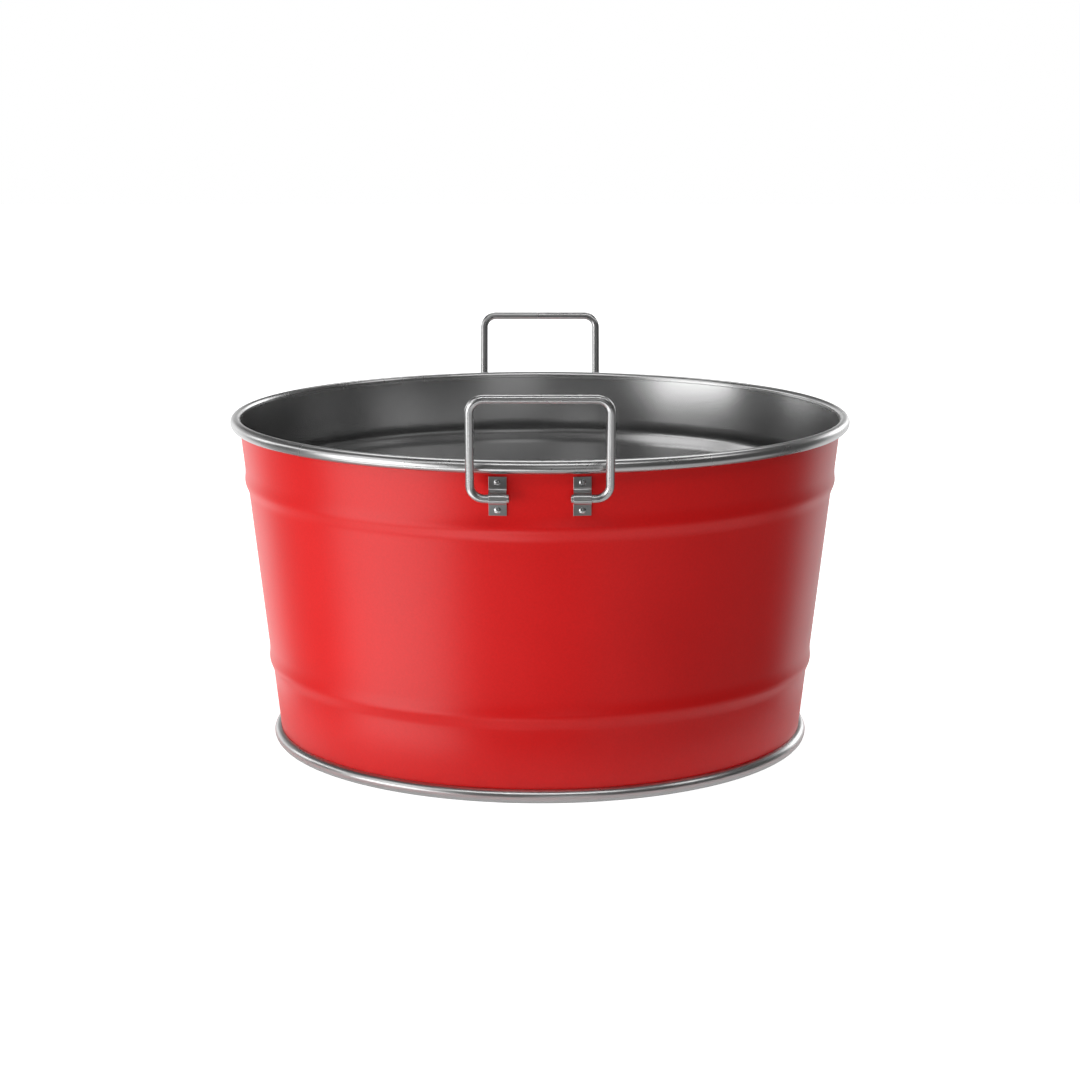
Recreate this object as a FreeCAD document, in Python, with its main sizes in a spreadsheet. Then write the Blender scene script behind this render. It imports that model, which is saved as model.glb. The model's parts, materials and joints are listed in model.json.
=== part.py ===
import FreeCAD, Part
import os
import Sketcher
from FreeCAD import Vector
from math import acos, pi

# A round steel drinks tub with two folding wire handles, in millimetres.
# The origin is the centre of the face that the foot ring stands on, +Z is up,
# and the two handles are at -Y (front) and +Y (rear).

doc = FreeCAD.newDocument("drinks_tub")
dims = doc.addObject("Spreadsheet::Sheet", "dims")

SIZES = [
    # the tub
    ("rim_radius", 235.0, "over the rolled rim"),
    ("rim_height", 245.2, "ground to the middle of the rim roll"),
    ("rim_roll", 4.7, "radius of the rim roll's section"),
    ("foot_radius", 205.9, "over the rolled foot ring"),
    ("foot_roll", 5.1, "radius of the foot roll's section"),
    ("foot_flat", 0.15, "how far the foot roll is flattened underneath"),
    ("hoop_sheet", 0.7, "sheet of the two rolled hoops"),
    ("sheet", 0.8, "sheet of the wall and the floor"),
    ("seam_gap", 0.05, "play left between two pieces of one seam"),
    # the wall's outer face
    ("wall_top_radius", 228.25, "outer face at the height of the rim roll's middle"),
    ("wall_lean", 6.34, "degrees from upright"),
    ("wall_rise", 2.2, "wall's edge above the rim roll's middle"),
    ("seam_bottom", 2.4, "ground to the edges held in the foot roll"),
    ("bead_step", 0.68, "how much each swaged bead narrows the wall below it"),
    ("bead_height", 15.5, "swaged bead, top to bottom"),
    ("bead_crest", 1.65, "swaged bead, out from the wall above it"),
    ("upper_bead", 44.7, "rim roll's middle down to the upper bead's crest"),
    ("lower_bead", 182.0, "rim roll's middle down to the lower bead's crest"),
    ("crest_round", 11.0, "radius over a bead's crest"),
    ("top_root_round", 33.0, "radius where the wall runs out into a bead"),
    ("low_root_round", 20.0, "radius where a bead runs back into the wall"),
    # the wires inside the two rolls
    ("rim_wire", 5.6, "diameter"),
    ("foot_wire", 4.4, "diameter"),
    # the floor
    ("floor_height", 15.5, "ground to the floor's upper face"),
    ("floor_round", 5.0, "radius of the floor's turned-down edge"),
    ("panel_radius", 168.0, "pressed middle of the floor"),
    ("panel_depth", 2.0, "pressed middle of the floor, below its edge"),
    ("panel_slope", 5.0, "width of the step round the pressed middle"),
    ("panel_round", 2.5, "radii of that step"),
    # the handles
    ("hinge_reach", 234.6, "tub's axis to the hinge axis"),
    ("hinge_drop", 20.85, "rim roll's middle down to the hinge axis"),
    ("handle_wire", 6.0, "diameter"),
    ("handle_width", 95.0, "between the middles of the two legs"),
    ("handle_rise", 73.2, "hinge axis to the middle of the top bar"),
    ("handle_round", 10.0, "radius of the wire's middle line in a bend"),
    ("handle_end", 21.0, "tub's middle plane to the wire's end"),
    ("handle_chamfer", 0.4, "on the wire's ends"),
    ("handle_lean", 15.0, "degrees outward from upright, as stored"),
    # the straps that hold the handles, and their rivets
    ("strap_offset", 28.9, "tub's middle plane to the middle of a strap"),
    ("strap_width", 12.3, "along the hinge axis"),
    ("strap_sheet", 1.0, "strap's thickness"),
    ("strap_half_height", 13.75, "hinge axis to either end of a strap"),
    ("strap_bend", 2.0, "inside radius of the bend from tab to leg"),
    ("bearing_play", 0.05, "between the handle's wire and its strap, all round"),
    ("rivet_spread", 9.8, "hinge axis to a rivet"),
    ("rivet_shank", 3.2, "diameter"),
    ("rivet_head", 4.9, "diameter"),
    ("rivet_side", 0.25, "height of the head's upright side"),
    ("rivet_dome", 0.95, "height of the head's dome above its side"),
]

for row, (name, size, note) in enumerate(SIZES, start=1):
    dims.set(f"A{row}", name)
    dims.set(f"B{row}", str(size))
    dims.set(f"C{row}", note)
    dims.setAlias(f"B{row}", name)
doc.recompute()

FULL_TURN = 360  # degrees
QUARTER = pi / 2
MATCH = 0.01  # how near an edge or face has to lie to the place it is looked for at
UP = Vector(0, 0, 1)

# how the sketcher numbers a sketch's own axes, its origin and the points of a line or arc
V_AXIS = -2
H_AXIS = -1
ORIGIN = (-1, 1)
START, END, CENTRE = 1, 2, 3


# ---------------------------------------------------------------- helpers

def value(expression):
    """The number an expression on the sheet gives."""
    return float(dims.evalExpression(expression))


def new_body(label):
    body = doc.addObject("PartDesign::Body", label)
    body.Label = label
    return body


def own_plane(body, role):
    """One of the body's own planes."""
    return [feature for feature in body.Origin.OriginFeatures if feature.Role == role][0]


def lifted(height):
    """A placement moved along its own Z by an expression."""
    return f"placement(vector(0; 0; {height}); rotation(vector(0; 0; 1); 0))"


def new_sketch(body, name, plane="XZ_Plane", lift=None):
    """A sketch on one of the body's own planes, moved along its normal by an expression."""
    sketch = body.newObject("Sketcher::SketchObject", name)
    sketch.AttachmentSupport = [(own_plane(body, plane), "")]
    sketch.MapMode = "FlatFace"
    if lift:
        sketch.setExpression("AttachmentOffset", lifted(lift))
    return sketch


def bind(sketch, constraint, expression):
    """Add a constraint whose size follows the sheet."""
    index = sketch.addConstraint(constraint)
    sketch.setExpression(f"Constraints[{index}]", expression)


def place_point(sketch, line, end, across, up):
    """Hold a line's end at a place in the sketch; "0" means on that axis."""
    if across == "0":
        sketch.addConstraint(Sketcher.Constraint("PointOnObject", line, end, V_AXIS))
    else:
        bind(sketch, Sketcher.Constraint("DistanceX", *ORIGIN, line, end, value(across)), across)
    if up == "0":
        sketch.addConstraint(Sketcher.Constraint("PointOnObject", line, end, H_AXIS))
    else:
        bind(sketch, Sketcher.Constraint("DistanceY", *ORIGIN, line, end, value(up)), up)


def draw_outline(sketch, corners):
    """A closed outline of straight lines through corners given as pairs of expressions."""
    points = [Vector(value(across), value(up), 0) for across, up in corners]
    lines = []
    for here, there in zip(points, points[1:] + points[:1]):
        lines.append(sketch.addGeometry(Part.LineSegment(here, there), False))
    for line, following in zip(lines, lines[1:] + lines[:1]):
        sketch.addConstraint(Sketcher.Constraint("Coincident", line, END, following, START))
    for line, (across, up) in zip(lines, corners):
        place_point(sketch, line, START, across, up)


def draw_circle(sketch, across, up, radius):
    middle = Vector(value(across), value(up), 0)
    circle = sketch.addGeometry(Part.Circle(middle, UP, value(radius)), False)
    place_point(sketch, circle, CENTRE, across, up)
    bind(sketch, Sketcher.Constraint("Radius", circle, value(radius)), radius)


def turned(body, name, sketch, kind="PartDesign::Revolution"):
    """Turn a sketch all the way round the body's Z axis, adding or (as a Groove) cutting."""
    before = body.Shape.Volume if kind == "PartDesign::Groove" else 0
    feature = body.newObject(kind, name)
    feature.Profile = sketch
    feature.ReferenceAxis = (sketch, ["V_Axis"])
    feature.Angle = FULL_TURN
    doc.recompute()
    if kind == "PartDesign::Groove" and not feature.Shape.Volume < before:
        raise RuntimeError(f"{name} cuts nothing")
    return feature


def round_edges(body, name, base, radius, places):
    """Round the circular edges that lie at the given (radius, height) expressions."""
    spots = [(value(across), value(up)) for across, up in places]
    names = []
    for number, edge in enumerate(base.Shape.Edges, start=1):
        if not isinstance(edge.Curve, Part.Circle):
            continue
        for across, up in spots:
            near_radius = abs(edge.Curve.Radius - across) < MATCH
            if near_radius and abs(edge.Curve.Center.z - up) < MATCH:
                names.append(f"Edge{number}")
    if len(names) != len(spots):
        raise RuntimeError(f"{name} found {len(names)} of {len(spots)} edges")
    fillet = body.newObject("PartDesign::Fillet", name)
    fillet.Base = (base, names)
    fillet.setExpression("Radius", radius)
    doc.recompute()
    return fillet


def hollow_out(body, name, base, open_heights):
    """Turn a solid into a sheet by thickening its skin inward, open at flat faces at these heights."""
    heights = [value(up) for up in open_heights]
    faces = []
    for number, face in enumerate(base.Shape.Faces, start=1):
        box = face.BoundBox
        if box.ZLength < MATCH and any(abs(box.ZMin - up) < MATCH for up in heights):
            faces.append(f"Face{number}")
    shell = body.newObject("PartDesign::Thickness", name)
    shell.Base = (base, faces)
    shell.Reversed = True
    shell.Join = "Arc"
    shell.setExpression("Value", "dims.sheet")
    doc.recompute()
    return shell


def wall_face(height, beads_above, inward="0"):
    """Radius of the wall's outer face (or of a face that lies inward of it) at a height."""
    down = f"(dims.rim_height - ({height}))"
    return (f"dims.wall_top_radius - {down} * tan(dims.wall_lean) - {beads_above} * dims.bead_step"
            f" - ({inward}) / cos(dims.wall_lean)")


def on_wall(height, side):
    """A placement on the wall's outer face at a strap's middle: local Z points straight out of it."""
    radius = wall_face(height, 0)
    azimuth = f"asin(dims.strap_offset / ({radius}))"
    return (f"placement(vector(0; 0; 0); rotation(vector(0; 0; 1); -({side}) * {azimuth}))"
            f" * placement(vector(0; {radius}; {height}); rotation(vector(1; 0; 0); -(90 + dims.wall_lean)))")


def rivet_hole(body, name, place, reach):
    """A round hole for a rivet, reaching this far to both sides of a placement on the wall."""
    hole = body.newObject("PartDesign::SubtractiveCylinder", name)
    hole.setExpression("Radius", "dims.rivet_shank / 2 + dims.seam_gap")
    hole.setExpression("Height", f"2 * {reach}")
    hole.setExpression("Placement", f"{place} * {lifted(f'-{reach}')}")
    doc.recompute()


HINGE_HEIGHT = "(dims.rim_height - dims.hinge_drop)"
HALF_TURN = "placement(vector(0; 0; 0); rotation(vector(0; 0; 1); 180))"
NO_TURN = "placement(vector(0; 0; 0); rotation(vector(0; 0; 1); 0))"
RIVET_HEIGHTS = [f"({HINGE_HEIGHT} + dims.rivet_spread)", f"({HINGE_HEIGHT} - dims.rivet_spread)"]


# ---------------------------------------------------------------- the tub

def bead_corners(depth, beads_above):
    """The three corners of a swaged bead, from its bottom up: root, crest, root."""
    crest = f"(dims.rim_height - {depth})"
    bottom = f"({crest} - dims.bead_height / 2)"
    top = f"({crest} + dims.bead_height / 2)"
    return [
        (wall_face(bottom, beads_above + 1), bottom),
        (wall_face(crest, beads_above, "-dims.bead_crest"), crest),
        (wall_face(top, beads_above), top),
    ]


def tub_wall():
    """One sheet, rolled into a cone with two swaged beads and pierced for the rivets."""
    body = new_body("tub_wall")
    bottom = "dims.seam_bottom"
    top = "(dims.rim_height + dims.wall_rise)"
    lower = bead_corners("dims.lower_bead", 1)
    upper = bead_corners("dims.upper_bead", 0)
    sketch = new_sketch(body, "wall_outline")
    draw_outline(sketch, [
        ("0", bottom),
        (wall_face(bottom, 2), bottom),
        *lower,
        *upper,
        (wall_face(top, 0), top),
        ("0", top),
    ])
    cone = turned(body, "wall_cone", sketch)
    cone = round_edges(body, "crests", cone, "dims.crest_round", [lower[1], upper[1]])
    cone = round_edges(body, "top_roots", cone, "dims.top_root_round", [lower[2], upper[2]])
    cone = round_edges(body, "low_roots", cone, "dims.low_root_round", [lower[0], upper[0]])
    hollow_out(body, "wall_sheet", cone, [bottom, top])
    for end_name, turn in (("rear", NO_TURN), ("front", HALF_TURN)):
        for side_name, side in (("right", 1), ("left", -1)):
            for level_name, height in zip(("upper", "lower"), RIVET_HEIGHTS):
                name = f"hole_{end_name}_{side_name}_{level_name}"
                rivet_hole(body, name, f"{turn} * {on_wall(height, side)}", "(2 * dims.sheet)")
    return body


def rolled_hoop(label, across, up, roll, slot):
    """A tube bent into a ring and slit where sheet edges enter it; slot gives the slit's outline."""
    body = new_body(label)
    section = new_sketch(body, f"{label}_section")
    draw_circle(section, across, up, roll)
    draw_circle(section, across, up, f"{roll} - dims.hoop_sheet")
    turned(body, f"{label}_roll", section)
    slit = new_sketch(body, f"{label}_slot")
    draw_outline(slit, slot)
    turned(body, f"{label}_slit", slit, "PartDesign::Groove")
    return body


def rim_hoop():
    """The bare steel roll that covers the wall's upper edge."""
    middle = "dims.rim_height"
    below = "(dims.rim_height - dims.rim_roll - dims.hoop_sheet)"
    outside = "-dims.seam_gap"
    inside = "(dims.sheet + dims.seam_gap)"
    slot = [
        (wall_face(below, 0, inside), below),
        (wall_face(below, 0, outside), below),
        (wall_face(middle, 0, outside), middle),
        (wall_face(middle, 0, inside), middle),
    ]
    return rolled_hoop("rim_hoop", "dims.rim_radius - dims.rim_roll", middle, "dims.rim_roll", slot)


def foot_ring():
    """The bare steel roll that clamps the wall's and the floor's lower edges, and stands on the ground."""
    middle = "(dims.foot_roll - dims.foot_flat)"
    above = "(2 * dims.foot_roll + dims.hoop_sheet)"
    outside = "-dims.seam_gap"
    inside = "(2 * dims.sheet + 2 * dims.seam_gap)"
    slot = [
        (wall_face(middle, 2, inside), middle),
        (wall_face(middle, 2, outside), middle),
        (wall_face(above, 2, outside), above),
        (wall_face(above, 2, inside), above),
    ]
    body = rolled_hoop("foot_ring", "dims.foot_radius - dims.foot_roll", middle, "dims.foot_roll", slot)
    flat = new_sketch(body, "foot_flat")
    draw_outline(flat, [
        ("dims.foot_radius - 2 * dims.foot_roll", "-dims.foot_roll"),
        ("dims.foot_radius", "-dims.foot_roll"),
        ("dims.foot_radius", "0"),
        ("dims.foot_radius - 2 * dims.foot_roll", "0"),
    ])
    turned(body, "foot_flattening", flat, "PartDesign::Groove")
    return body


def hoop_wire(label, hoop_radius, height, wire):
    """The stiffening wire inside a rolled hoop, lying against the hoop's outer side."""
    ring = doc.addObject("Part::Torus", label)
    ring.Label = label
    ring.setExpression("Radius1", f"{hoop_radius} - dims.hoop_sheet - 2 * dims.seam_gap - {wire} / 2")
    ring.setExpression("Radius2", f"{wire} / 2")
    ring.setExpression("Placement", lifted(height))
    return ring


def floor_pan():
    """A disc with a pressed middle and a turned-down edge that the foot ring clamps to the wall."""
    body = new_body("floor_pan")
    inward = "(dims.sheet + dims.seam_gap)"
    bottom = "dims.seam_bottom"
    top = "dims.floor_height"
    panel = "(dims.floor_height - dims.panel_depth)"
    rim = (wall_face(top, 2, inward), top)
    step_top = ("(dims.panel_radius + dims.panel_slope)", top)
    step_foot = ("dims.panel_radius", panel)
    sketch = new_sketch(body, "floor_outline")
    draw_outline(sketch, [
        ("0", bottom),
        (wall_face(bottom, 2, inward), bottom),
        rim,
        step_top,
        step_foot,
        ("0", panel),
    ])
    disc = turned(body, "floor_disc", sketch)
    disc = round_edges(body, "floor_edge", disc, "dims.floor_round", [rim])
    disc = round_edges(body, "panel_step", disc, "dims.panel_round", [step_top, step_foot])
    hollow_out(body, "floor_sheet", disc, [bottom])
    return body


# ---------------------------------------------------------------- straps, rivets and handles

def draw_saddle(sketch):
    """The strap's half-round saddle over the wire, with short straight legs towards the wall."""
    inner = "(dims.handle_wire / 2 + dims.bearing_play)"
    outer = f"({inner} + dims.strap_sheet)"
    stub = "dims.handle_wire / 2"
    reach, height = value("dims.hinge_reach"), value(HINGE_HEIGHT)
    middle = Vector(reach, height, 0)
    arcs = []
    for radius in (inner, outer):
        circle = Part.Circle(middle, UP, value(radius))
        arcs.append(sketch.addGeometry(Part.ArcOfCircle(circle, -QUARTER, QUARTER), False))
        bind(sketch, Sketcher.Constraint("Radius", arcs[-1], value(radius)), radius)
    place_point(sketch, arcs[0], CENTRE, "dims.hinge_reach", HINGE_HEIGHT)
    sketch.addConstraint(Sketcher.Constraint("Coincident", arcs[0], CENTRE, arcs[1], CENTRE))
    for end, direction in ((START, -1), (END, 1)):
        near = reach - value(stub)
        low, high = height + direction * value(inner), height + direction * value(outer)
        inside = sketch.addGeometry(Part.LineSegment(Vector(reach, low, 0), Vector(near, low, 0)), False)
        across = sketch.addGeometry(Part.LineSegment(Vector(near, low, 0), Vector(near, high, 0)), False)
        outside = sketch.addGeometry(Part.LineSegment(Vector(near, high, 0), Vector(reach, high, 0)), False)
        sketch.addConstraint(Sketcher.Constraint("Tangent", arcs[0], end, inside, START))
        sketch.addConstraint(Sketcher.Constraint("Coincident", inside, END, across, START))
        sketch.addConstraint(Sketcher.Constraint("Coincident", across, END, outside, START))
        sketch.addConstraint(Sketcher.Constraint("Tangent", outside, END, arcs[1], end))
        sketch.addConstraint(Sketcher.Constraint("Horizontal", inside))
        sketch.addConstraint(Sketcher.Constraint("Vertical", across))
        sketch.addConstraint(Sketcher.Constraint("Horizontal", outside))
        bind(sketch, Sketcher.Constraint("DistanceX", inside, END, inside, START, value(stub)), stub)


TAB_OVERRUN = 1.5  # the tabs are turned this many times too far, then cut back to width


def handle_strap(label, side, turn):
    """A strap bent over the handle's wire, with two tabs that follow the wall.

    It is drawn at the rear right; a side of -1 mirrors it and the turn carries it to its own end.
    """
    body = new_body(f"{label}_body")
    near_side = "(dims.strap_offset - dims.strap_width / 2)"
    far_side = "(dims.strap_offset + dims.strap_width / 2)"
    saddle = new_sketch(body, f"{label}_saddle", "YZ_Plane", near_side)
    draw_saddle(saddle)
    pad = body.newObject("PartDesign::Pad", f"{label}_bend")
    pad.Profile = saddle
    pad.setExpression("Length", "dims.strap_width")
    doc.recompute()

    # each tab and its leg are one outline, turned about the tub's axis so that the tab hugs the wall
    under = "-dims.seam_gap"
    over = "-(dims.seam_gap + dims.strap_sheet)"
    lap = "(dims.hinge_reach - dims.handle_wire / 2 + dims.strap_sheet / 2)"
    leg_tip = f"sqrt({lap} ^ 2 + {far_side} ^ 2)"
    tabs = new_sketch(body, f"{label}_tab_outlines", "YZ_Plane")
    corners = []
    for sign in ("+", "-"):
        wire_side = f"({HINGE_HEIGHT} {sign} (dims.handle_wire / 2 + dims.bearing_play))"
        free_side = f"({HINGE_HEIGHT} {sign} (dims.handle_wire / 2 + dims.bearing_play + dims.strap_sheet))"
        tip = f"({HINGE_HEIGHT} {sign} dims.strap_half_height)"
        hidden = (wall_face(wire_side, 0, under), wire_side)
        bend = (wall_face(free_side, 0, over), free_side)
        draw_outline(tabs, [
            hidden,
            (wall_face(tip, 0, under), tip),
            (wall_face(tip, 0, over), tip),
            bend,
            (leg_tip, free_side),
            (leg_tip, wire_side),
        ])
        corners.append((hidden, bend))
    sweep = body.newObject("PartDesign::Revolution", f"{label}_tabs")
    sweep.Profile = tabs
    sweep.ReferenceAxis = (tabs, ["V_Axis"])
    sweep.Reversed = True
    sweep.setExpression("Angle", f"{TAB_OVERRUN} * asin({far_side} / dims.hinge_reach)")
    doc.recompute()
    inner = [bend for hidden, bend in corners]
    outer = [hidden for hidden, bend in corners]
    bends = round_edges(body, f"{label}_inner_bends", sweep, "dims.strap_bend", inner)
    round_edges(body, f"{label}_outer_bends", bends, "dims.strap_bend + dims.strap_sheet", outer)

    # cut the turned tabs back to the strap's own width
    trim = new_sketch(body, f"{label}_trim", "XY_Plane")
    back = "(dims.hinge_reach - 2 * dims.strap_half_height)"
    front = "(dims.hinge_reach + 2 * dims.strap_half_height)"
    beyond = f"({far_side} * {TAB_OVERRUN} + dims.strap_width)"
    draw_outline(trim, [("0", back), (near_side, back), (near_side, front), ("0", front)])
    draw_outline(trim, [(far_side, back), (beyond, back), (beyond, front), (far_side, front)])
    sides = body.newObject("PartDesign::Pocket", f"{label}_sides")
    sides.Profile = trim
    sides.Type = "ThroughAll"
    sides.Midplane = True
    doc.recompute()
    for level, height in zip(("upper", "lower"), RIVET_HEIGHTS):
        rivet_hole(body, f"{label}_{level}_hole", on_wall(height, 1), "(2 * dims.strap_sheet)")

    if side > 0:
        body.Label = label
        body.setExpression("Placement", turn)
        return body
    mirrored = doc.addObject("Part::Mirroring", label)
    mirrored.Label = label
    mirrored.Source = body
    mirrored.Normal = Vector(1, 0, 0)
    mirrored.setExpression("Placement", turn)
    return mirrored


def rivet(label, height, side, turn):
    """A dome-headed rivet whose tail is set flush with the wall's inner face."""
    body = new_body(label)
    sketch = new_sketch(body, f"{label}_section")
    shank, head = "dims.rivet_shank / 2", "dims.rivet_head / 2"
    grip = "(dims.sheet + dims.strap_sheet + 2 * dims.seam_gap)"
    side_top = f"({grip} + dims.rivet_side)"
    crown = f"({side_top} + dims.rivet_dome)"
    points = [("0", "0"), (shank, "0"), (shank, grip), (head, grip), (head, side_top)]
    places = [Vector(value(across), value(up), 0) for across, up in points]
    lines = [sketch.addGeometry(Part.LineSegment(a, b), False) for a, b in zip(places, places[1:])]
    half_head, dome_height = value(head), value("dims.rivet_dome")
    dome_radius = (half_head ** 2 + dome_height ** 2) / (2 * dome_height)
    sphere = Part.Circle(Vector(0, value(crown) - dome_radius, 0), UP, dome_radius)
    dome = sketch.addGeometry(Part.ArcOfCircle(sphere, acos(half_head / dome_radius), QUARTER), False)
    axis = sketch.addGeometry(Part.LineSegment(Vector(0, value(crown), 0), places[0]), False)
    for line, following in zip(lines, lines[1:]):
        sketch.addConstraint(Sketcher.Constraint("Coincident", line, END, following, START))
    for line, (across, up) in zip(lines, points):
        place_point(sketch, line, START, across, up)
    place_point(sketch, lines[-1], END, head, side_top)
    sketch.addConstraint(Sketcher.Constraint("Coincident", lines[-1], END, dome, START))
    sketch.addConstraint(Sketcher.Constraint("Coincident", dome, END, axis, START))
    sketch.addConstraint(Sketcher.Constraint("Coincident", axis, END, lines[0], START))
    sketch.addConstraint(Sketcher.Constraint("PointOnObject", dome, CENTRE, V_AXIS))
    place_point(sketch, axis, START, "0", crown)
    turned(body, f"{label}_turning", sketch)
    body.setExpression("Placement", f"{turn} * {on_wall(height, side)} * {lifted('-dims.sheet')}")
    return body


def handle(label, turn):
    """A wire loop, drawn as its right half and mirrored; its two ends point at each other."""
    body = new_body(label)
    half, rise, bend = "dims.handle_width / 2", "dims.handle_rise", "dims.handle_round"
    width, height, radius = value(half), value(rise), value(bend)
    tip = value("dims.handle_end")
    path = new_sketch(body, f"{label}_path")
    inner = width - radius
    upper_bend = Part.Circle(Vector(inner, height - radius, 0), UP, radius)
    lower_bend = Part.Circle(Vector(inner, radius, 0), UP, radius)
    top = path.addGeometry(Part.LineSegment(Vector(0, height, 0), Vector(inner, height, 0)), False)
    upper = path.addGeometry(Part.ArcOfCircle(upper_bend, 0, QUARTER), False)
    leg_ends = (Vector(width, height - radius, 0), Vector(width, radius, 0))
    leg = path.addGeometry(Part.LineSegment(*leg_ends), False)
    lower = path.addGeometry(Part.ArcOfCircle(lower_bend, -QUARTER, 0), False)
    pin = path.addGeometry(Part.LineSegment(Vector(inner, 0, 0), Vector(tip, 0, 0)), False)
    path.addConstraint(Sketcher.Constraint("Tangent", top, END, upper, END))
    path.addConstraint(Sketcher.Constraint("Tangent", upper, START, leg, START))
    path.addConstraint(Sketcher.Constraint("Tangent", leg, END, lower, END))
    path.addConstraint(Sketcher.Constraint("Tangent", lower, START, pin, START))
    path.addConstraint(Sketcher.Constraint("Horizontal", top))
    path.addConstraint(Sketcher.Constraint("Vertical", leg))
    place_point(path, top, START, "0", rise)
    place_point(path, pin, END, "dims.handle_end", "0")
    path.addConstraint(Sketcher.Constraint("Horizontal", pin))
    bind(path, Sketcher.Constraint("DistanceX", *ORIGIN, leg, START, width), half)
    for arc in (upper, lower):
        bind(path, Sketcher.Constraint("Radius", arc, radius), bend)
    section = new_sketch(body, f"{label}_section", "YZ_Plane")
    draw_circle(section, "0", rise, "dims.handle_wire / 2")
    doc.recompute()
    pipe = body.newObject("PartDesign::AdditivePipe", f"{label}_half")
    pipe.Profile = section
    pipe.Spine = (path, [f"Edge{number}" for number, piece in enumerate(path.Geometry, start=1)])
    doc.recompute()
    whole = body.newObject("PartDesign::Mirrored", f"{label}_whole")
    whole.Originals = [pipe]
    whole.MirrorPlane = (own_plane(body, "YZ_Plane"), [""])
    body.Tip = whole
    doc.recompute()
    ends = []
    for number, edge in enumerate(whole.Shape.Edges, start=1):
        if isinstance(edge.Curve, Part.Circle) and abs(abs(edge.Curve.Center.x) - tip) < MATCH:
            ends.append(f"Edge{number}")
    chamfer = body.newObject("PartDesign::Chamfer", f"{label}_ends")
    chamfer.Base = (whole, ends)
    chamfer.setExpression("Size", "dims.handle_chamfer")
    doc.recompute()
    body.setExpression("Placement", f"{turn} * placement(vector(0; dims.hinge_reach; {HINGE_HEIGHT});"
                       " rotation(vector(1; 0; 0); -dims.handle_lean))")
    return body


# ---------------------------------------------------------------- build, check, write

nodes = [tub_wall(), rim_hoop(), foot_ring(), floor_pan()]
nodes.append(hoop_wire("rim_wire", "dims.rim_radius", "dims.rim_height", "dims.rim_wire"))
foot_middle = "(dims.foot_roll - dims.foot_flat)"
nodes.append(hoop_wire("foot_wire", "dims.foot_radius", foot_middle, "dims.foot_wire"))
for end_name, turn, right in (("rear", NO_TURN, 1), ("front", HALF_TURN, -1)):
    nodes.append(handle(f"{end_name}_handle", turn))
    for side_name, side in (("right", right), ("left", -right)):
        nodes.append(handle_strap(f"{end_name}_{side_name}_strap", side, turn))
        for level_name, height in zip(("upper", "lower"), RIVET_HEIGHTS):
            nodes.append(rivet(f"{end_name}_{side_name}_{level_name}_rivet", height, side, turn))
doc.recompute()

for item in doc.Objects:
    if "Invalid" in item.State or "Error" in item.State:
        raise RuntimeError(f"{item.Name} failed: {item.State}")
for node in nodes:
    shape = node.Shape
    if shape.isNull() or not shape.isValid() or len(shape.Solids) != 1:
        raise RuntimeError(f"{node.Label} has no good single solid")

os.makedirs("parts", exist_ok=True)
for node in nodes:
    node.Shape.exportStep(f"parts/{node.Label}.step")
    box = node.Shape.BoundBox
    print(f"{node.Label:32s} {node.Shape.Volume:12.1f} mm3  z {box.ZMin:8.2f} to {box.ZMax:8.2f}")
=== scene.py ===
import bpy
import bmesh
import json
import math
from mathutils import Matrix, Vector


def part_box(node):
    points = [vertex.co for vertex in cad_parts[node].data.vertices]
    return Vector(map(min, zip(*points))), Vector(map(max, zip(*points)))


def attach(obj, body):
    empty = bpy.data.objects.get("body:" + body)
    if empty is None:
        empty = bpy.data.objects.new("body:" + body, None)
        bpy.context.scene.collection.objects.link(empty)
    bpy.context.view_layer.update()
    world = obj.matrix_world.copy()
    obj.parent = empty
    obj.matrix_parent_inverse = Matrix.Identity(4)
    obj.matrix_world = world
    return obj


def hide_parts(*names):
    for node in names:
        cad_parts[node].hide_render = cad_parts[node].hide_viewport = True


# A red steel drinks tub with a bare steel rim, foot and handles, on a white studio floor.
# Metres, +Z up; the front handle is towards -Y, where the camera stands.

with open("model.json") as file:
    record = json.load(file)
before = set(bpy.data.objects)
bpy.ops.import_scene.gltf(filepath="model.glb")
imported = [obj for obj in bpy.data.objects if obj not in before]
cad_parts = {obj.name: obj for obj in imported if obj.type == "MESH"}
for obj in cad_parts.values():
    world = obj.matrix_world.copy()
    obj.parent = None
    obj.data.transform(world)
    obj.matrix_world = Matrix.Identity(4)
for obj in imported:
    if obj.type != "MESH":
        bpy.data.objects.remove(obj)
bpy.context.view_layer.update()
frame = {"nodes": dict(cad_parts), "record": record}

MM = 0.001
FULL_TURN = 2 * math.pi

# ---------------------------------------------------------------- sizes

# read from the frame
rim_low, rim_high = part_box("rim_hoop")
foot_low, foot_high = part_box("foot_ring")
wall_low, wall_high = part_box("tub_wall")
pan_low, pan_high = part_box("floor_pan")
strap_low, strap_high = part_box("rear_right_strap")
grip_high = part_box("rear_handle")[1]
joints = {joint["name"]: joint for joint in frame["record"]["behaviour"]["joints"]}
hinge_y, hinge_z = joints["rear_handle_hinge"]["pos_m"][1:]

# the rolls, the sheet and the play in the seams
RIM_ROLL = (rim_high.z - rim_low.z) / 2
RIM_MIDDLE = (rim_high.z + rim_low.z) / 2
RIM_RING = rim_high.x - RIM_ROLL
FOOT_ROLL = 5.1 * MM
FOOT_MIDDLE = foot_high.z - FOOT_ROLL
FOOT_RING = foot_high.x - FOOT_ROLL
HOOP_SHEET = 0.7 * MM
SHEET = 0.8 * MM
SEAM_GAP = 0.05 * MM

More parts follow.
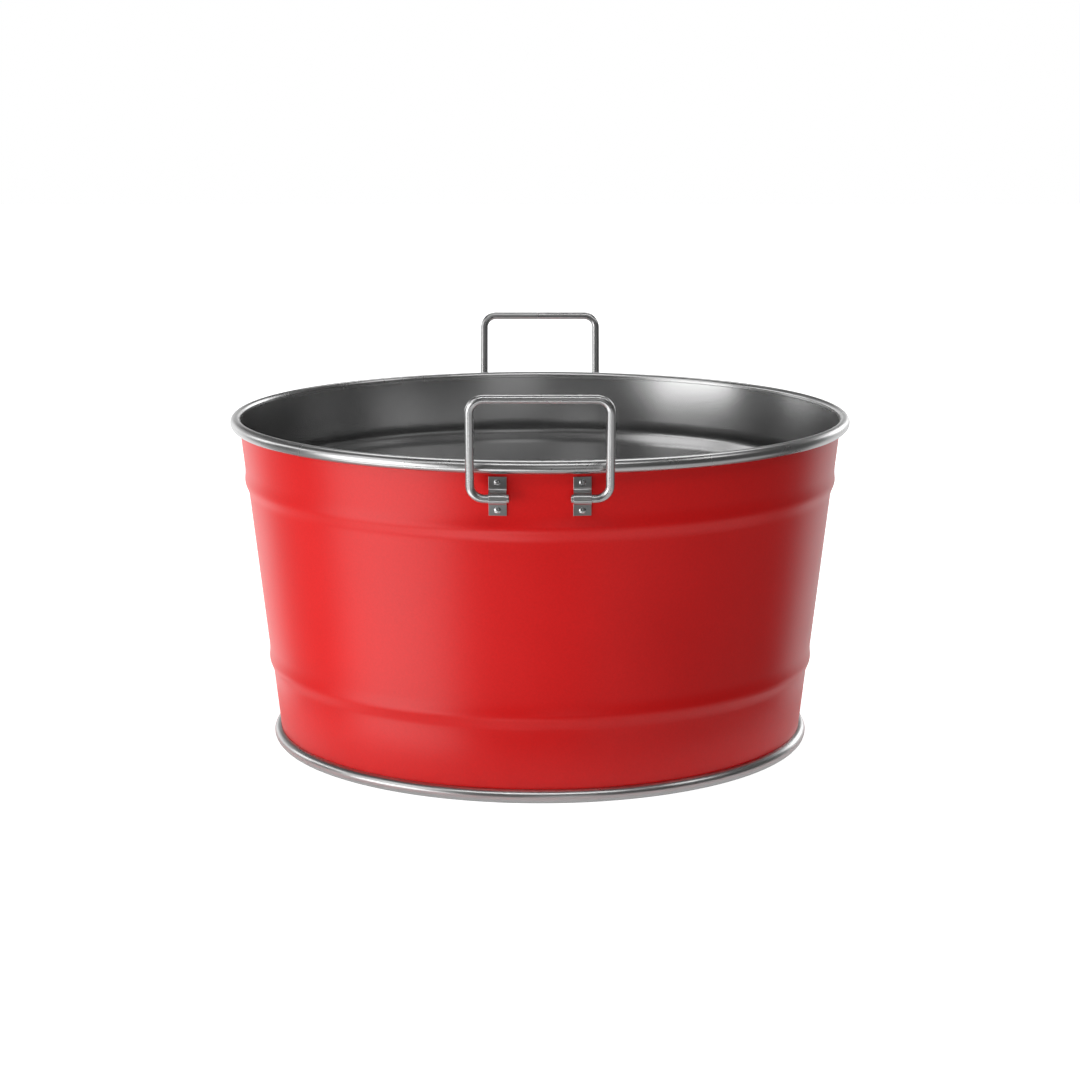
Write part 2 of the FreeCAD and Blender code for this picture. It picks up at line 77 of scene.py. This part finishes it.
# the wall's outer face, a cone with two swaged beads that each narrow what is below them
WALL_LEAN = math.radians(6.34)
WALL_TOP = 228.25 * MM
BEAD_STEP = 0.68 * MM
BEAD_HEIGHT = 15.5 * MM
BEAD_CREST = 1.65 * MM
UPPER_BEAD = RIM_MIDDLE - 44.7 * MM
LOWER_BEAD = RIM_MIDDLE - 182.0 * MM
CREST_ROUND = 11 * MM
TOP_ROOT_ROUND = 33 * MM
LOW_ROOT_ROUND = 20 * MM

# the floor
PANEL_RADIUS = 168 * MM
PANEL_DEPTH = 2 * MM
PANEL_SLOPE = 5 * MM
PANEL_ROUND = 2.5 * MM
FLOOR_ROUND = 5 * MM

# a handle's wire and the straps and rivets that hold it
WIRE = 3 * MM
HANDLE_ROUND = 10 * MM
HANDLE_END = 21 * MM
WIRE_CHAMFER = 0.4 * MM
HANDLE_HALF_WIDTH = grip_high.x - WIRE
STRAP_SHEET = 1 * MM
STRAP_BEND = 2 * MM
STRAP_EDGE = 0.18 * MM
BEARING_PLAY = 0.05 * MM
RIVET_SPREAD = 9.8 * MM
RIVET_HEAD = 2.45 * MM
RIVET_SIDE = 0.25 * MM
RIVET_DOME = 0.95 * MM
RIVET_SHANK = 0.6 * RIVET_HEAD
RIVET_SINK = 0.1 * MM

# how finely round shapes are divided, and the turn from which an edge is sharp
AROUND = 360
RIVET_AROUND = 48
WIRE_SIDES = 32
STRAP_COLUMNS = 9
ARC_STEP = math.radians(5)
SHARP_TURN = math.radians(40)


# ---------------------------------------------------------------- outlines

def rounded(corners):
    """A line through (across, up, radius) corners, each rounded by an arc of its own radius."""
    points = []
    for place, (across, up, radius) in enumerate(corners):
        here = Vector((across, up))
        if radius == 0:
            points.append(here)
            continue
        back = (Vector(corners[place - 1][:2]) - here).normalized()
        ahead = (Vector(corners[(place + 1) % len(corners)][:2]) - here).normalized()
        half = back.angle(ahead) / 2
        centre = here + (back + ahead).normalized() * radius / math.sin(half)
        spoke = here + back * radius / math.tan(half) - centre
        sweep = math.copysign(math.pi - 2 * half, ahead.x * back.y - ahead.y * back.x)
        steps = math.ceil(abs(sweep) / ARC_STEP)
        for step in range(steps + 1):
            points.append(centre + Matrix.Rotation(sweep * step / steps, 2) @ spoke)
    return points


def offset(line, distance):
    """An open line moved to its right by a distance."""
    moved = []
    for place, point in enumerate(line):
        along = (line[min(place + 1, len(line) - 1)] - line[max(place - 1, 0)]).normalized()
        moved.append(point + Vector((along.y, -along.x)) * distance)
    return moved


def arc(across, up, radius, start, end):
    """Points along an arc, from one angle to the other."""
    steps = math.ceil(abs(end - start) / ARC_STEP)
    angles = [start + (end - start) * step / steps for step in range(steps + 1)]
    return [Vector((across + radius * math.cos(a), up + radius * math.sin(a))) for a in angles]


def wall_face(height, beads_above, inward=0.0):
    """Radius of the wall's outer face, or of a face that lies inward of it, at a height."""
    down = RIM_MIDDLE - height
    return WALL_TOP - down * math.tan(WALL_LEAN) - beads_above * BEAD_STEP - inward / math.cos(WALL_LEAN)


def bead_corners(crest, beads_above):
    """The rounded corners of a swaged bead, from its bottom up."""
    bottom, top = crest - BEAD_HEIGHT / 2, crest + BEAD_HEIGHT / 2
    return [
        (wall_face(bottom, beads_above + 1), bottom, LOW_ROOT_ROUND),
        (wall_face(crest, beads_above, -BEAD_CREST), crest, CREST_ROUND),
        (wall_face(top, beads_above), top, TOP_ROOT_ROUND),
    ]


# ---------------------------------------------------------------- meshes

def new_piece(name, vertices, faces, materials, kinds=None):
    """A mesh object with smooth faces and sharp edges; kinds gives each face its material's place."""
    mesh = bpy.data.meshes.new(name)
    mesh.from_pydata(vertices, [], faces)
    for material in materials:
        mesh.materials.append(material)
    if kinds:
        mesh.polygons.foreach_set("material_index", kinds)
    shell = bmesh.new()
    shell.from_mesh(mesh)
    bmesh.ops.recalc_face_normals(shell, faces=shell.faces)
    shell.to_mesh(mesh)
    shell.free()
    mesh.shade_smooth()
    mesh.set_sharp_from_angle(angle=SHARP_TURN)
    piece = bpy.data.objects.new(name, mesh)
    bpy.context.scene.collection.objects.link(piece)
    return piece


def turned(name, outline, materials, kinds=None, around=AROUND):
    """A closed outline turned about the Z axis; kinds gives each side of the outline its material."""
    count = len(outline)
    vertices, faces, face_kinds = [], [], []
    for step in range(around):
        angle = FULL_TURN * step / around
        turn_x, turn_y = math.cos(angle), math.sin(angle)
        vertices.extend((point.x * turn_x, point.x * turn_y, point.y) for point in outline)
        here, there = step * count, (step + 1) % around * count
        for side in range(count):
            following = (side + 1) % count
            faces.append((here + side, there + side, there + following, here + following))
            face_kinds.append(kinds[side] if kinds else 0)
    return new_piece(name, vertices, faces, materials, face_kinds)


def lofted(name, sections, materials):
    """Closed sections of equally many points joined in a row, with both ends capped."""
    count = len(sections[0])
    vertices = [point for section in sections for point in section]
    faces = [tuple(range(count)), tuple(range(len(vertices) - count, len(vertices)))]
    for row in range(len(sections) - 1):
        for side in range(count):
            here, there = row * count + side, row * count + (side + 1) % count
            faces.append((here, there, there + count, here + count))
    return new_piece(name, vertices, faces, materials)


def settle(piece, body, slot, *nodes):
    """Put a finished piece on its body in place of the nodes it stands for."""
    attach(piece, body)
    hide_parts(*nodes)


# ---------------------------------------------------------------- materials

# noise hardly ever leaves this part of 0..1
NOISE_LOW = 0.3
NOISE_HIGH = 0.7

PAINT_DARK = (0.78, 0.006, 0.006)
PAINT_LIGHT = (0.88, 0.008, 0.008)
PAINT_ROUGH_LOW = 0.33
PAINT_ROUGH_HIGH = 0.37
STEEL_ROUGH_SPREAD = 0.05


def new_material(name):
    """An empty material with a Principled shader; returns the material, its node tree and the shader."""
    material = bpy.data.materials.new(name)
    material.use_nodes = True
    tree = material.node_tree
    shader = tree.nodes["Principled BSDF"]
    return material, tree, shader


def add_node(tree, kind, inputs=None, **settings):
    """A node with its settings; inputs gives sockets a value or a link."""
    node = tree.nodes.new(kind)
    for name, setting in settings.items():
        setattr(node, name, setting)
    for name, given in (inputs or {}).items():
        if isinstance(given, bpy.types.NodeSocket):
            tree.links.new(given, node.inputs[name])
        else:
            node.inputs[name].default_value = given
    return node


def noise(tree, size, detail=2.0):
    """Noise in the object's own space, with features of about the given size in metres."""
    place = add_node(tree, "ShaderNodeTexCoord").outputs["Object"]
    texture = add_node(tree, "ShaderNodeTexNoise", {"Vector": place, "Scale": 1 / size, "Detail": detail})
    return texture.outputs["Fac"]


def ranged(tree, factor, low, high):
    """Noise stretched to low..high."""
    span = {"From Min": NOISE_LOW, "From Max": NOISE_HIGH, "To Min": low, "To Max": high}
    return add_node(tree, "ShaderNodeMapRange", {"Value": factor, **span}).outputs["Result"]


def shades(tree, factor, dark, light):
    """A colour between dark and light, by noise."""
    ramp = add_node(tree, "ShaderNodeValToRGB", {"Fac": factor})
    first, last = ramp.color_ramp.elements
    first.position = NOISE_LOW
    first.color = (*dark, 1)
    last.position = NOISE_HIGH
    last.color = (*light, 1)
    return ramp.outputs["Color"]


def mixed(tree, coarse, fine):
    """Coarse and fine noise in equal parts."""
    return add_node(tree, "ShaderNodeMix", {"Factor": 0.5, "A": coarse, "B": fine}).outputs["Result"]


def bumped(tree, shader, height, depth):
    """Bump of a given depth in metres."""
    bump = add_node(tree, "ShaderNodeBump", {"Height": height, "Distance": depth, "Strength": 1.0})
    tree.links.new(bump.outputs["Normal"], shader.inputs["Normal"])


def red_paint():
    """Satin red paint: a fine even grain, faint clouds of colour and a slightly uneven gloss."""
    material, tree, shader = new_material("red_paint")
    clouds = noise(tree, 90 * MM, 3)
    grain = noise(tree, 1.6 * MM, 2)
    colour = shades(tree, mixed(tree, clouds, grain), PAINT_DARK, PAINT_LIGHT)
    tree.links.new(colour, shader.inputs["Base Color"])
    tree.links.new(ranged(tree, clouds, PAINT_ROUGH_LOW, PAINT_ROUGH_HIGH), shader.inputs["Roughness"])
    shader.inputs["Specular IOR Level"].default_value = 0.42
    bumped(tree, shader, grain, 0.008 * MM)
    return material


def grey(level):
    """A neutral colour."""
    return (level, level, level)


def steel(name, dark, light, rough, grain_size, grain_depth):
    """Bare satin steel: fine grain, clouds of tone and a slightly uneven gloss."""
    material, tree, shader = new_material(name)
    clouds = noise(tree, 60 * MM, 4)
    grain = noise(tree, grain_size, 3)
    tree.links.new(shades(tree, clouds, grey(dark), grey(light)), shader.inputs["Base Color"])
    gloss = ranged(tree, clouds, rough * (1 - STEEL_ROUGH_SPREAD), rough * (1 + STEEL_ROUGH_SPREAD))
    tree.links.new(gloss, shader.inputs["Roughness"])
    shader.inputs["Metallic"].default_value = 1
    bumped(tree, shader, grain, grain_depth)
    return material


paint = red_paint()
# the steels: dark and light grey, roughness, and the grain's size and depth
inside_steel = steel("inside_steel", 0.43, 0.46, 0.26, 1.0 * MM, 0.0008 * MM)
hoop_steel = steel("hoop_steel", 0.50, 0.54, 0.28, 3 * MM, 0.001 * MM)
handle_steel = steel("handle_steel", 0.50, 0.54, 0.27, 2.5 * MM, 0.001 * MM)
strap_steel = steel("strap_steel", 0.44, 0.47, 0.30, 0.5 * MM, 0.001 * MM)
rivet_steel = steel("rivet_steel", 0.45, 0.50, 0.22, 0.4 * MM, 0.0005 * MM)
plain_wire = steel("plain_wire", 0.40, 0.46, 0.40, 0.5 * MM, 0.001 * MM)


# ---------------------------------------------------------------- the tub

def painted_wall():
    """The wall's sheet: painted outside, bare inside."""
    outer = rounded([
        (wall_face(wall_low.z, 2), wall_low.z, 0),
        *bead_corners(LOWER_BEAD, 1),
        *bead_corners(UPPER_BEAD, 0),
        (wall_face(wall_high.z, 0), wall_high.z, 0),
    ])
    inner = offset(outer, -SHEET)
    outline = outer + inner[::-1]
    painted_sides = len(outer) - 1
    kinds = [0] * painted_sides + [1] * (len(outline) - painted_sides)
    wall = turned("painted_wall", outline, [paint, inside_steel], kinds)
    settle(wall, "tub", "red_paint", "tub_wall")


def roll_section(ring, middle, roll, start, end):
    """The section of a rolled hoop: a nearly closed curl of sheet with rounded lips."""
    mid_line, half_sheet = roll - HOOP_SHEET / 2, HOOP_SHEET / 2
    start += half_sheet / mid_line
    end -= half_sheet / mid_line
    lips = []
    for angle in (end, start):
        across, up = ring + mid_line * math.cos(angle), middle + mid_line * math.sin(angle)
        lips.append((across, up, angle))
    first, last = lips
    return (arc(ring, middle, roll, start, end)
            + arc(first[0], first[1], half_sheet, first[2], first[2] + math.pi)[1:-1]
            + arc(ring, middle, roll - HOOP_SHEET, end, start)
            + arc(last[0], last[1], half_sheet, last[2] + math.pi, last[2] + 2 * math.pi)[1:-1])


def rim_roll():
    """The bare roll over the wall's top edge, open below, its inner side pressed flush with the wall."""
    entry = RIM_MIDDLE - RIM_ROLL
    outside = RIM_RING - wall_face(entry, 0, -SEAM_GAP)
    inside = RIM_RING - wall_face(entry, 0, SHEET + SEAM_GAP)
    start = -math.pi / 2 - math.asin(outside / RIM_ROLL)
    end = 3 * math.pi / 2 - math.asin(inside / RIM_ROLL)
    section = roll_section(RIM_RING, RIM_MIDDLE, RIM_ROLL, start, end)
    flush = (RIM_RING - wall_face(RIM_MIDDLE, 0, SHEET)) / RIM_ROLL
    for point in section:
        if point.x < RIM_RING:
            point.x = RIM_RING - (RIM_RING - point.x) * flush
    settle(turned("rim_roll", section, [hoop_steel]), "tub", "hoop_steel", "rim_hoop")


def foot_roll():
    """The bare roll round the foot, open above where wall and floor come in, pressed flat underneath."""
    entry = FOOT_MIDDLE + FOOT_ROLL
    outside = FOOT_RING - wall_face(entry, 2, -SEAM_GAP)
    inside = FOOT_RING - wall_face(entry, 2, 2 * SHEET + 2 * SEAM_GAP)
    start = math.pi / 2 + math.asin(inside / FOOT_ROLL)
    end = 5 * math.pi / 2 + math.asin(outside / FOOT_ROLL)
    section = roll_section(FOOT_RING, FOOT_MIDDLE, FOOT_ROLL, start, end)
    for point in section:
        point.y = max(point.y, foot_low.z)
    settle(turned("foot_roll", section, [hoop_steel]), "tub", "hoop_steel", "foot_ring")


def tub_floor():
    """The floor: a sheet with a pressed middle and a turned-down edge."""
    inward = SHEET + SEAM_GAP
    edge = wall_face(pan_high.z, 2, inward)
    panel = pan_high.z - PANEL_DEPTH
    upper = rounded([
        (0, panel, 0),
        (PANEL_RADIUS, panel, PANEL_ROUND),
        (PANEL_RADIUS + PANEL_SLOPE, pan_high.z, PANEL_ROUND),
        (edge, pan_high.z, FLOOR_ROUND),
        (wall_face(pan_low.z, 2, inward), pan_low.z, 0),
    ])
    outline = upper + offset(upper, SHEET)[::-1]
    settle(turned("tub_floor", outline, [inside_steel]), "tub", "inside_steel", "floor_pan")


# ---------------------------------------------------------------- handles, straps and rivets

ENDS = {"rear": 1, "front": -1}
SIDES = {"right": 1, "left": -1}
LEVELS = {"upper": 1, "lower": -1}


def handle(end):
    """A wire loop whose two ends point at each other, leaning outward from its hinge."""
    out_run = grip_high.y - WIRE - hinge_y
    up_run = grip_high.z - WIRE - hinge_z
    rise = math.hypot(out_run, up_run)
    lean = math.atan2(out_run, up_run)
    half = HANDLE_HALF_WIDTH
    path = rounded([
        (HANDLE_END, 0, 0),
        (half, 0, HANDLE_ROUND),
        (half, rise, HANDLE_ROUND),
        (-half, rise, HANDLE_ROUND),
        (-half, 0, HANDLE_ROUND),
        (-HANDLE_END, 0, 0),
    ])
    chamfer_in = Vector((WIRE_CHAMFER, 0))
    centres = [path[0], path[0] + chamfer_in, *path[1:-1], path[-1] - chamfer_in, path[-1]]
    radii = [WIRE - WIRE_CHAMFER, *[WIRE] * len(path), WIRE - WIRE_CHAMFER]
    up_axis = Vector((0, math.sin(lean), math.cos(lean)))
    side_axis = Vector((0, math.cos(lean), -math.sin(lean)))
    sections = []
    for place, (centre, radius) in enumerate(zip(centres, radii)):
        along = (centres[min(place + 1, len(centres) - 1)] - centres[max(place - 1, 0)]).normalized()
        middle = Vector((centre.x, 0, 0)) + up_axis * centre.y
        across = Vector((-along.y, 0, 0)) + up_axis * along.x
        ring = []
        for side in range(WIRE_SIDES):
            angle = FULL_TURN * side / WIRE_SIDES
            spot = middle + radius * (math.cos(angle) * across + math.sin(angle) * side_axis)
            ring.append((spot.x, ENDS[end] * (hinge_y + spot.y), hinge_z + spot.z))
        sections.append(ring)
    piece = lofted(f"{end}_handle_wire", sections, [handle_steel])
    settle(piece, f"{end}_handle", "handle_steel", f"{end}_handle")


def strap_section(across):
    """The strap's outline where it is this far from the tub's middle plane, in depth and height."""

    def depth(height, inward):
        return math.sqrt(wall_face(height, 0, inward) ** 2 - across ** 2)

    inner = WIRE + BEARING_PLAY
    outer = inner + STRAP_SHEET
    under = -SEAM_GAP
    over = under - STRAP_SHEET
    low, high = strap_low.z, strap_high.z
    outer_bend = STRAP_BEND + STRAP_SHEET
    return rounded([
        (depth(high, over), high, 0),
        (depth(hinge_z + outer, over), hinge_z + outer, STRAP_BEND),
        (hinge_y + outer, hinge_z + outer, outer),
        (hinge_y + outer, hinge_z - outer, outer),
        (depth(hinge_z - outer, over), hinge_z - outer, STRAP_BEND),
        (depth(low, over), low, 0),
        (depth(low, under), low, 0),
        (depth(hinge_z - inner, under), hinge_z - inner, outer_bend),
        (hinge_y + inner, hinge_z - inner, inner),
        (hinge_y + inner, hinge_z + inner, inner),
        (depth(hinge_z + inner, under), hinge_z + inner, outer_bend),
        (depth(high, under), high, 0),
    ])


def strap(end, side):
    """A strap bent over the handle's wire, its tabs following the wall, with its edges slightly rounded."""
    width = strap_high.x - strap_low.x
    sections = []
    for column in range(STRAP_COLUMNS):
        across = strap_low.x + width * column / (STRAP_COLUMNS - 1)
        outline = strap_section(across)
        sections.append([(SIDES[side] * across, ENDS[end] * point.x, point.y) for point in outline])
    piece = lofted(f"{end}_{side}_bracket", sections, [strap_steel])
    bevel = piece.modifiers.new("edge", "BEVEL")
    bevel.width = STRAP_EDGE
    bevel.segments = 2
    bevel.limit_method = "ANGLE"
    bevel.angle_limit = SHARP_TURN
    settle(piece, "tub", "strap_steel", f"{end}_{side}_strap")


def rivet(end, side, level):
    """A dome-headed rivet through a strap's tab, square to the wall."""
    height = hinge_z + LEVELS[level] * RIVET_SPREAD
    radius = wall_face(height, 0)
    strap_middle = (strap_low.x + strap_high.x) / 2
    azimuth = math.asin(strap_middle / radius)
    seat = STRAP_SHEET + SEAM_GAP
    side_top = seat + RIVET_SIDE
    dome_radius = (RIVET_HEAD ** 2 + RIVET_DOME ** 2) / (2 * RIVET_DOME)
    start = math.acos(RIVET_HEAD / dome_radius)
    dome = arc(0, side_top + RIVET_DOME - dome_radius, dome_radius, start, math.pi / 2)
    shank = [Vector((0, 0)), Vector((RIVET_SHANK, 0)), Vector((RIVET_SHANK, seat - RIVET_SINK))]
    outline = [*shank, Vector((RIVET_HEAD, seat - RIVET_SINK)), *dome]
    piece = turned(f"{end}_{side}_{level}_rivet_head", outline, [rivet_steel], around=RIVET_AROUND)
    tilt = Matrix.Rotation(-(math.pi / 2 + WALL_LEAN), 4, "X")
    place = Matrix.Rotation(-azimuth, 4, "Z") @ Matrix.Translation((0, radius, height)) @ tilt
    flip = Matrix.Diagonal((SIDES[side], ENDS[end], 1, 1))
    piece.data.transform(flip @ place)
    if SIDES[side] * ENDS[end] < 0:
        piece.data.flip_normals()
    settle(piece, "tub", "rivet_steel", f"{end}_{side}_{level}_rivet")


def hidden_wires():
    """The stiffening wires inside the two rolls, which keep their CAD shape."""
    for name in ("rim_wire", "foot_wire"):
        for slot in frame["nodes"][name].material_slots:
            slot.link = "OBJECT"
            slot.material = plain_wire


painted_wall()
rim_roll()
foot_roll()
tub_floor()
for end in ENDS:
    handle(end)
    for side in SIDES:
        strap(end, side)
        for level in LEVELS:
            rivet(end, side, level)
hidden_wires()


# ---------------------------------------------------------------- studio

# the wide floor, and the small one close round the tub
FLOOR_REACH = 6.0
FLOOR_GLOW = 0.95
FLOOR_DARK = 0.80
FLOOR_LIGHT = 0.82
NEAR_FLOOR = 0.27
NEAR_FLOOR_GLOW = 0.3
FLOOR_GAP = 0.5 * MM

# the camera, fitted to the photograph's outline: sensor and lens in millimetres, and in metres its
# distance in front of the tub's axis and its height
CAMERA_SENSOR = 36
CAMERA_LENS = 87.15
CAMERA_DISTANCE = 1.9762
CAMERA_HEIGHT = 0.5398
CAMERA_DOWN = math.radians(11.169)

# the light: an even room light and soft panels, in degrees round the tub; a program fitted their places
# and strengths to the shading in the photograph, then they were rounded and some were changed
ROOM_LIGHT = 0.09
PANEL_SOFTNESS = 0.15
PANELS = {
    # azimuth from the front towards the right, elevation, half width, half height, strength
    "front_high_strip": (0, 54, 29, 5, 3.5),
    "left_front_upper": (-64, 32, 18, 12, 1.3),
    "left_front_level": (-66, 7, 18, 8, 2.3),
    "left_front_lower": (-61, -14, 24, 18, 2.6),
    "left_rear_level": (-122, 10, 8, 8, 2.0),
    "left_side": (-102, 19, 14, 6, 1.6),
    "right_rear": (146, 14, 12, 8, 2.4),
    "rear_lower": (177, -11, 48, 24, 0.95),
    "left_rear_floor": (-139, -55, 35, 85, 0.28),
    "left_front_floor": (-49, -51, 34, 9, 2.3),
    "front_level": (11, 5, 12, 15, 0.5),
    "right_front_floor": (62, -49, 37, 22, 0.46),
    "right_high": (78, 41, 8, 8, 2.2),
    "rear_high": (178, 58, 25, 11, 2.4),
}


def pale_material(name, glow):
    """Plain pale floor covering with a barely uneven tone."""
    material, tree, shader = new_material(name)
    tone = shades(tree, noise(tree, 400 * MM), grey(FLOOR_DARK), grey(FLOOR_LIGHT))
    tree.links.new(tone, shader.inputs["Base Color"])
    shader.inputs["Roughness"].default_value = 1
    shader.inputs["Specular IOR Level"].default_value = 0
    shader.inputs["Emission Color"].default_value = (1, 1, 1, 1)
    shader.inputs["Emission Strength"].default_value = glow
    return material


def studio_floor():
    """A wide white floor, seen by the camera only, so that light from below still reaches the tub."""
    reach = FLOOR_REACH
    corners = [(-reach, -reach, 0), (reach, -reach, 0), (reach, reach, 0), (-reach, reach, 0)]
    material = pale_material("studio_floor", FLOOR_GLOW)
    floor = new_piece("studio_floor", corners, [(0, 1, 2, 3)], [material])
    floor.visible_diffuse = False
    floor.visible_glossy = False
    floor.visible_transmission = False
    floor.visible_shadow = False


def floor_under_tub():
    """The floor close round the tub, which its foot reflects and which shades it from light below."""
    circle = [FULL_TURN * step / AROUND for step in range(AROUND)]
    corners = [(NEAR_FLOOR * math.cos(a), NEAR_FLOOR * math.sin(a), -FLOOR_GAP) for a in circle]
    material = pale_material("near_floor", NEAR_FLOOR_GLOW)
    floor = new_piece("floor_under_tub", corners, [tuple(range(AROUND))], [material])
    floor.visible_camera = False


def soft_panel(tree, direction, azimuth, elevation, half_width, half_height, strength):
    """The light of a soft-edged panel, whose place and size are in degrees."""
    turn, lift = math.radians(azimuth), math.radians(elevation)
    to_panel = Vector((math.sin(turn) * math.cos(lift), -math.cos(turn) * math.cos(lift), math.sin(lift)))
    right = Vector((math.cos(turn), math.sin(turn), 0))
    up = right.cross(-to_panel)
    facing = add_node(tree, "ShaderNodeVectorMath", {0: direction, 1: to_panel}, operation="DOT_PRODUCT")
    light = strength
    for axis, half in ((right, half_width), (up, half_height)):
        along = add_node(tree, "ShaderNodeVectorMath", {0: direction, 1: axis}, operation="DOT_PRODUCT")
        slant = add_node(tree, "ShaderNodeMath", {0: along.outputs["Value"], 1: facing.outputs["Value"]},
                         operation="ARCTAN2")
        size = add_node(tree, "ShaderNodeMath", {0: slant.outputs["Value"]}, operation="ABSOLUTE")
        edge = math.radians(half)
        mask = add_node(tree, "ShaderNodeMapRange",
                        {"Value": size.outputs["Value"], "From Min": edge * (1 + PANEL_SOFTNESS),
                         "From Max": edge * (1 - PANEL_SOFTNESS)}, interpolation_type="SMOOTHSTEP")
        light = add_node(tree, "ShaderNodeMath", {0: light, 1: mask.outputs["Result"]},
                         operation="MULTIPLY").outputs["Value"]
    return light


def studio_light():
    """Surroundings that light the tub with soft panels; the camera sees them as plain white."""
    world = bpy.data.worlds.new("studio")
    bpy.context.scene.world = world
    world.use_nodes = True
    tree = world.node_tree
    direction = add_node(tree, "ShaderNodeTexCoord").outputs["Generated"]
    light = ROOM_LIGHT
    for panel in PANELS.values():
        added = soft_panel(tree, direction, *panel)
        light = add_node(tree, "ShaderNodeMath", {0: light, 1: added}, operation="ADD").outputs["Value"]
    seen = add_node(tree, "ShaderNodeLightPath").outputs["Is Camera Ray"]
    strength = add_node(tree, "ShaderNodeMix", {"Factor": seen, "A": light, "B": 1.0})
    background = tree.nodes["Background"]
    background.inputs["Color"].default_value = (1, 1, 1, 1)
    tree.links.new(strength.outputs["Result"], background.inputs["Strength"])


def camera():
    """The photograph's viewpoint: straight in front of the tub, looking slightly down over the rim."""
    data = bpy.data.cameras.new("camera")
    data.sensor_width = CAMERA_SENSOR
    data.lens = CAMERA_LENS
    view = bpy.data.objects.new("camera", data)
    view.location = (0, -CAMERA_DISTANCE, CAMERA_HEIGHT)
    view.rotation_euler = (math.pi / 2 - CAMERA_DOWN, 0, 0)
    bpy.context.scene.collection.objects.link(view)
    bpy.context.scene.camera = view


studio_floor()
floor_under_tub()
studio_light()
camera()
bpy.context.scene.view_settings.view_transform = "Standard"
